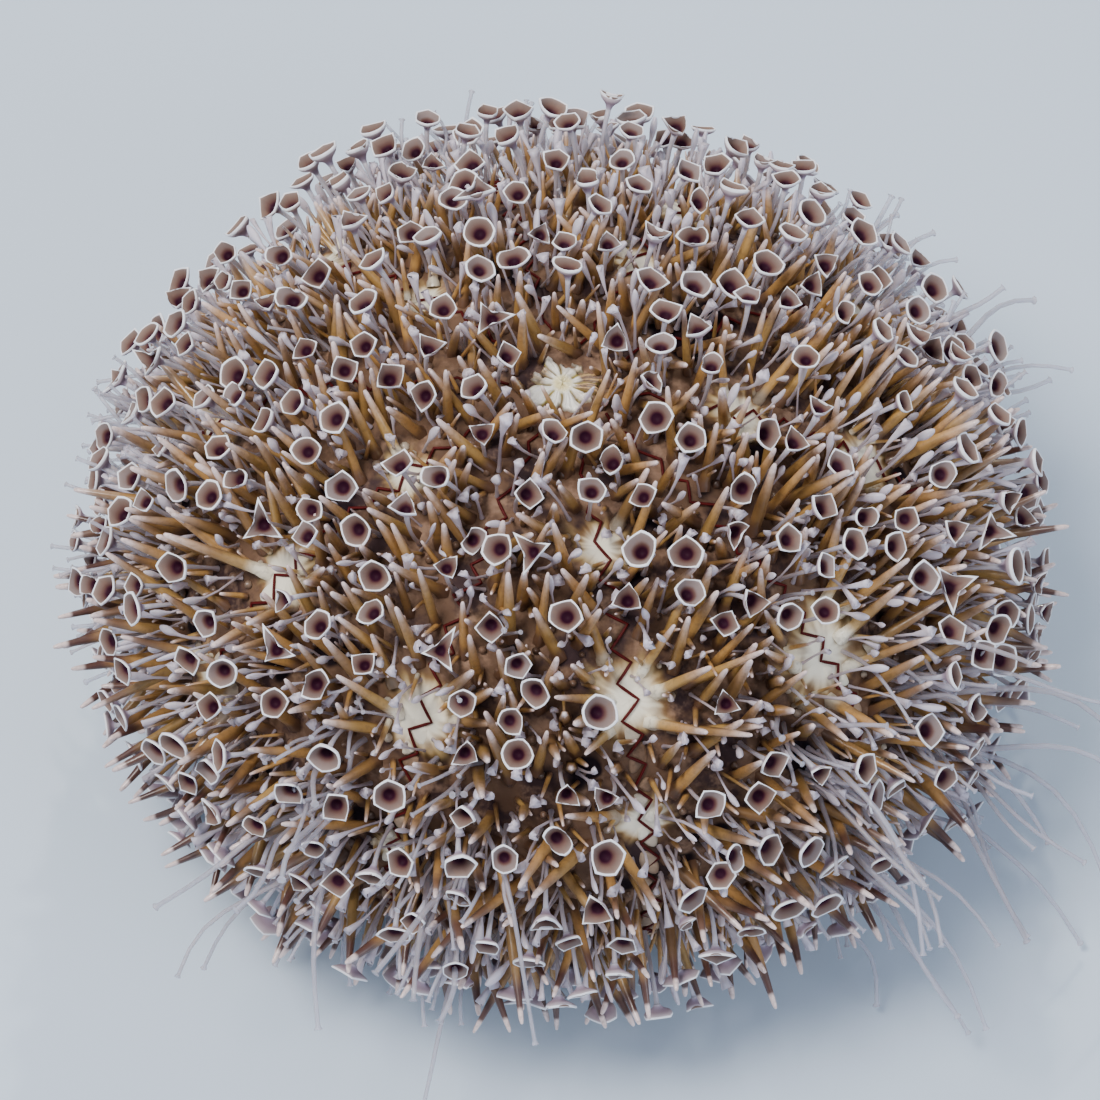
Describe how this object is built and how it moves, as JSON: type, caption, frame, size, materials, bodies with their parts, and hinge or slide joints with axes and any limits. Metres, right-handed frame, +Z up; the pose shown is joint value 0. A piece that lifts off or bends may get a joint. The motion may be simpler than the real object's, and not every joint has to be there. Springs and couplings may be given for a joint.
{
  "type": "flower urchin model",
  "caption": "Still life-size sea urchin resting mouth down: domed test in radial sectors with short tapered spines, stalked cup-shaped pedicellariae and tube feet.",
  "frame": {"origin": "floor level under the middle of the overall box, at the tips of the lower spines", "axes": "+Z up through the apex (aboral side), mouth down; the picture was taken from the -Y side"},
  "size_m": [0.1432, 0.1488, 0.0791],
  "materials": {
    "test_skin": "moist skin over a calcite test, mottled brown and violet with cream patches",
    "ambulacral_skin": "moist skin over a calcite test, lighter brown",
    "apical_plates": "cream calcite plates",
    "peristome_membrane": "moist soft membrane",
    "tooth_calcite": "white polished calcite",
    "spine_amber": "amber brown fluted spine with a pale pink tip",
    "pedicellaria_cup": "translucent pinkish cup with a white rim and a dark violet centre",
    "tube_foot": "translucent grey white tube foot"
  },
  "bodies": {
    "root": {"interambulacrum_1": "test_skin", "interambulacrum_2": "test_skin", "interambulacrum_3": "test_skin", "interambulacrum_4": "test_skin", "interambulacrum_5": "test_skin", "ambulacrum_1": "ambulacral_skin", "ambulacrum_2": "ambulacral_skin", "ambulacrum_3": "ambulacral_skin", "ambulacrum_4": "ambulacral_skin", "ambulacrum_5": "ambulacral_skin", "apical_disc": "apical_plates", "peristome": "peristome_membrane", "tooth_1": "tooth_calcite", "tooth_2": "tooth_calcite", "tooth_3": "tooth_calcite", "tooth_4": "tooth_calcite", "tooth_5": "tooth_calcite"}
  },
  "joints": []
}
